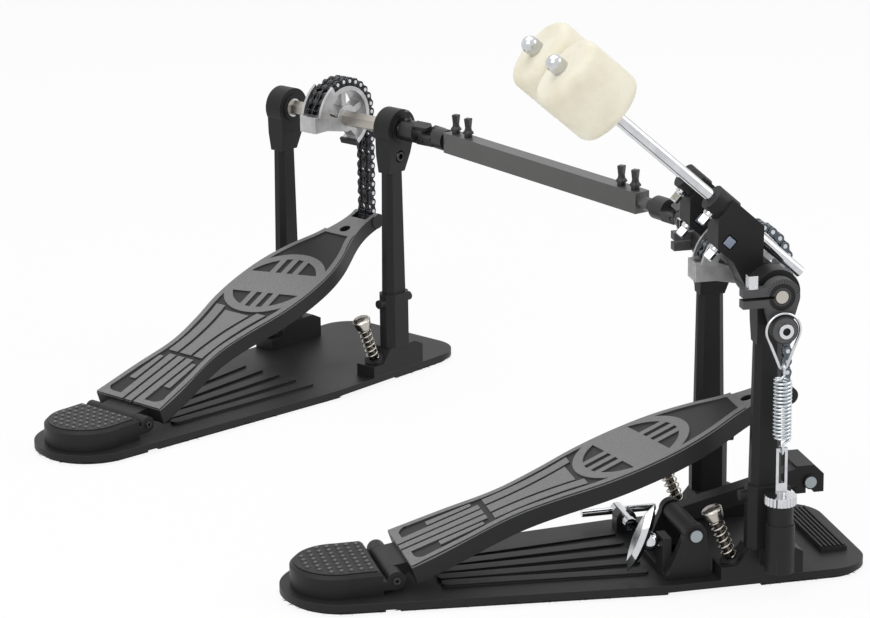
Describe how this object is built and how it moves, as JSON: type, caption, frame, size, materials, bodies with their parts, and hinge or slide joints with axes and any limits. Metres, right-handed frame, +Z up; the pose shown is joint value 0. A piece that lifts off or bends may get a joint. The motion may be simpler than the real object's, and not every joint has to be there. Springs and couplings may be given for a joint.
{
  "type": "double bass drum pedal",
  "caption": "Double bass drum pedal with chain-driven felt beaters, a linked slave pedal, return springs and a hoop clamp.",
  "frame": {"origin": "on the floor under the middle of the main pedal's axle", "axes": "+X to the player's right along the main axle, +Y towards the drum, +Z up"},
  "size_m": [0.6843, 0.5205, 0.3746],
  "materials": {
    "black_coat": "satin powder coat",
    "board_grey": "dark coated casting with worn grey top",
    "cast_silver": "bare satin casting",
    "axle_steel": "satin nickel",
    "chrome": "polished",
    "zinc": "bright zinc",
    "dark_steel": "blackened",
    "rubber": "matt",
    "felt": "dense wool felt",
    "black_plastic": "moulded"
  },
  "bodies": {
    "main_frame": {"main_base_plate": "black_coat", "main_floor_pads": "rubber", "main_heel_plate": "black_coat", "main_post_right": "black_coat", "main_post_left": "black_coat", "main_bearings": "chrome", "spring_rods": "zinc", "hoop_bracket": "black_coat", "hoop_pad": "rubber", "key_clip": "black_plastic"},
    "slave_frame": {"slave_base_plate": "black_coat", "slave_floor_pads": "rubber", "slave_heel_plate": "black_coat", "slave_post_right": "black_coat", "slave_post_left": "black_coat", "slave_bearings": "chrome"},
    "main_axle": {"main_axle": "axle_steel", "axle_spigot": "axle_steel", "main_cam": "cast_silver", "main_chain_wrap": "dark_steel", "right_rocker": "black_coat", "main_hub": "black_coat"},
    "main_footboard": {"main_footboard": "board_grey"},
    "main_chain_links": {"main_chain_link_3": "dark_steel", "main_chain_link_2": "dark_steel", "main_chain_link_1": "dark_steel"},
    "main_chain_drop": {"main_chain_drop": "dark_steel"},
    "main_spur_right": {"main_spur_right": "axle_steel"},
    "main_spur_left": {"main_spur_left": "axle_steel"},
    "slave_axle": {"slave_axle": "axle_steel", "slave_cam": "cast_silver", "slave_chain_wrap": "dark_steel", "slave_cross": "dark_steel"},
    "slave_footboard": {"slave_footboard": "board_grey"},
    "slave_chain_links": {"slave_chain_link_3": "dark_steel", "slave_chain_link_2": "dark_steel", "slave_chain_link_1": "dark_steel"},
    "slave_chain_drop": {"slave_chain_drop": "dark_steel"},
    "slave_spur_right": {"slave_spur_right": "axle_steel"},
    "slave_spur_left": {"slave_spur_left": "axle_steel"},
    "second_axle": {"second_sleeve": "axle_steel", "second_hub": "black_coat", "left_rocker": "black_coat", "main_cross": "dark_steel"},
    "drive_tube": {"linkage_tube": "dark_steel", "linkage_screws": "dark_steel"},
    "drive_rod": {"linkage_rod": "dark_steel"},
    "main_beater": {"main_beater_shaft": "chrome", "main_beater_felt": "felt"},
    "second_beater": {"second_beater_shaft": "chrome", "second_beater_felt": "felt"},
    "right_spring": {"right_spring": "zinc"},
    "right_stirrup": {"right_stirrup": "chrome"},
    "right_tension_nut": {"right_tension_nut": "chrome"},
    "left_spring": {"left_spring": "zinc"},
    "left_stirrup": {"left_stirrup": "chrome"},
    "left_tension_nut": {"left_tension_nut": "chrome"},
    "wing_screw": {"wing_screw": "chrome"},
    "hoop_lever": {"hoop_lever": "black_coat"},
    "drum_key": {"drum_key": "chrome"}
  },
  "joints": [
    {"name": "linkage_telescope", "type": "slide", "parent": "main_frame", "child": "slave_frame", "axis": [-0.9271, -0.3749, 0], "range_m": [0, 0.06]},
    {"name": "main_axle_turn", "type": "hinge", "parent": "main_frame", "child": "main_axle", "pos_m": [0, 0, 0.207], "axis": [-1, 0, 0], "range_deg": [0, 42], "stiffness_Nm_per_rad": 0.6, "springref_deg": -34.38},
    {"name": "main_foot_hinge", "type": "hinge", "parent": "main_frame", "child": "main_footboard", "pos_m": [0, -0.252, 0.0175], "axis": [-1, 0, 0], "range_deg": [0, 4.36]},
    {"name": "main_chain_pin_3", "type": "hinge", "parent": "main_axle", "child": "main_chain_links", "pos_m": [0, 0.02291, 0.22636], "axis": [-1, 0, 0], "range_deg": [-24.71, 0]},
    {"name": "main_chain_pin_0", "type": "hinge", "parent": "main_chain_links", "child": "main_chain_drop", "pos_m": [0, 0.03, 0.207], "axis": [-1, 0, 0], "range_deg": [-20.2, 0]},
    {"name": "main_spur_right_set", "type": "slide", "parent": "main_frame", "child": "main_spur_right", "axis": [0, -0.3584, 0.9336], "range_m": [0, 0.006]},
    {"name": "main_spur_left_set", "type": "slide", "parent": "main_frame", "child": "main_spur_left", "axis": [0, -0.3584, 0.9336], "range_m": [0, 0.006]},
    {"name": "slave_axle_turn", "type": "hinge", "parent": "slave_frame", "child": "slave_axle", "pos_m": [-0.506, -0.1703, 0.207], "axis": [-0.8265, -0.5629, 0], "range_deg": [0, 42], "stiffness_Nm_per_rad": 0.6, "springref_deg": -34.38},
    {"name": "slave_foot_hinge", "type": "hinge", "parent": "slave_frame", "child": "slave_footboard", "pos_m": [-0.36414, -0.37858, 0.0175], "axis": [-0.8265, -0.5629, 0], "range_deg": [0, 4.36]},
    {"name": "slave_chain_pin_3", "type": "hinge", "parent": "slave_axle", "child": "slave_chain_links", "pos_m": [-0.5189, -0.15136, 0.22636], "axis": [-0.8265, -0.5629, 0], "range_deg": [-24.71, 0]},
    {"name": "slave_chain_pin_0", "type": "hinge", "parent": "slave_chain_links", "child": "slave_chain_drop", "pos_m": [-0.52289, -0.1455, 0.207], "axis": [-0.8265, -0.5629, 0], "range_deg": [-20.2, 0]},
    {"name": "slave_spur_right_set", "type": "slide", "parent": "slave_frame", "child": "slave_spur_right", "axis": [0.2017, -0.2962, 0.9336], "range_m": [0, 0.006]},
    {"name": "slave_spur_left_set", "type": "slide", "parent": "slave_frame", "child": "slave_spur_left", "axis": [0.2017, -0.2962, 0.9336], "range_m": [0, 0.006]},
    {"name": "second_axle_turn", "type": "hinge", "parent": "main_frame", "child": "second_axle", "pos_m": [0, 0, 0.207], "axis": [-1, 0, 0], "range_deg": [0, 44.37]},
    {"name": "drive_tube_turn", "type": "hinge", "parent": "main_frame", "child": "drive_tube", "pos_m": [-0.14, 0, 0.207], "axis": [-0.9271, -0.3749, 0], "range_deg": [0, 41.14]},
    {"name": "drive_rod_turn", "type": "hinge", "parent": "slave_frame", "child": "drive_rod", "pos_m": [-0.42542, -0.11541, 0.207], "axis": [-0.9271, -0.3749, 0], "range_deg": [0, 41.14]},
    {"name": "main_beater_height", "type": "slide", "parent": "main_axle", "child": "main_beater", "axis": [0, -0.742, 0.6704], "range_m": [-0.008, 0.02]},
    {"name": "second_beater_height", "type": "slide", "parent": "second_axle", "child": "second_beater", "axis": [0, -0.742, 0.6704], "range_m": [-0.008, 0.02]},
    {"name": "right_spring_tilt", "type": "hinge", "parent": "main_frame", "child": "right_spring", "pos_m": [0.08145, 0, 0.1027], "axis": [-1, 0, 0], "range_deg": [-9.47, 0]},
    {"name": "right_stirrup_slide", "type": "slide", "parent": "right_spring", "child": "right_stirrup", "axis": [0, 0, 1], "range_m": [0, 0.0068], "deforming": ["right_spring"]},
    {"name": "right_nut_turn", "type": "hinge", "parent": "main_frame", "child": "right_tension_nut", "pos_m": [0.08145, 0, 0.0677], "axis": [0, 0, 1], "continuous": true},
    {"name": "left_spring_tilt", "type": "hinge", "parent": "main_frame", "child": "left_spring", "pos_m": [-0.08145, 0, 0.1027], "axis": [-1, 0, 0], "range_deg": [-9.82, 0]},
    {"name": "left_stirrup_slide", "type": "slide", "parent": "left_spring", "child": "left_stirrup", "axis": [0, 0, 1], "range_m": [0, 0.0075], "deforming": ["left_spring"]},
    {"name": "left_nut_turn", "type": "hinge", "parent": "main_frame", "child": "left_tension_nut", "pos_m": [-0.08145, 0, 0.0677], "axis": [0, 0, 1], "continuous": true},
    {"name": "wing_screw_turn", "type": "hinge", "parent": "main_frame", "child": "wing_screw", "pos_m": [0.042, -0.072, 0.029], "axis": [0, 0.9272, -0.3746], "range_deg": [0, 720]},
    {"name": "hoop_lever_close", "type": "hinge", "parent": "main_frame", "child": "hoop_lever", "pos_m": [0, -0.051, 0.038], "axis": [-1, 0, 0], "range_deg": [0, 10.1]},
    {"name": "drum_key_pull", "type": "slide", "parent": "main_frame", "child": "drum_key", "axis": [-1, 0, 0], "range_m": [0, 0.04]}
  ],
  "couplings": [
    {"joint": "main_foot_hinge", "follows": "main_axle_turn", "ratio": 0.1014},
    {"joint": "main_chain_pin_3", "follows": "main_axle_turn", "ratio": -0.586},
    {"joint": "main_chain_pin_0", "follows": "main_axle_turn", "ratio": -0.4786},
    {"joint": "slave_foot_hinge", "follows": "slave_axle_turn", "ratio": 0.1014},
    {"joint": "slave_chain_pin_3", "follows": "slave_axle_turn", "ratio": -0.586},
    {"joint": "slave_chain_pin_0", "follows": "slave_axle_turn", "ratio": -0.4786},
    {"joint": "second_axle_turn", "follows": "slave_axle_turn", "ratio": 1.0541},
    {"joint": "drive_tube_turn", "follows": "slave_axle_turn", "ratio": 0.97726},
    {"joint": "drive_rod_turn", "follows": "slave_axle_turn", "ratio": 0.97726},
    {"joint": "right_spring_tilt", "follows": "main_axle_turn", "ratio": -0.22304},
    {"joint": "right_stirrup_slide", "follows": "main_axle_turn", "m_per_rad": 0.009138},
    {"joint": "left_spring_tilt", "follows": "slave_axle_turn", "ratio": -0.23144},
    {"joint": "left_stirrup_slide", "follows": "slave_axle_turn", "m_per_rad": 0.010114},
    {"joint": "hoop_lever_close", "follows": "wing_screw_turn", "ratio": 0.013889}
  ]
}
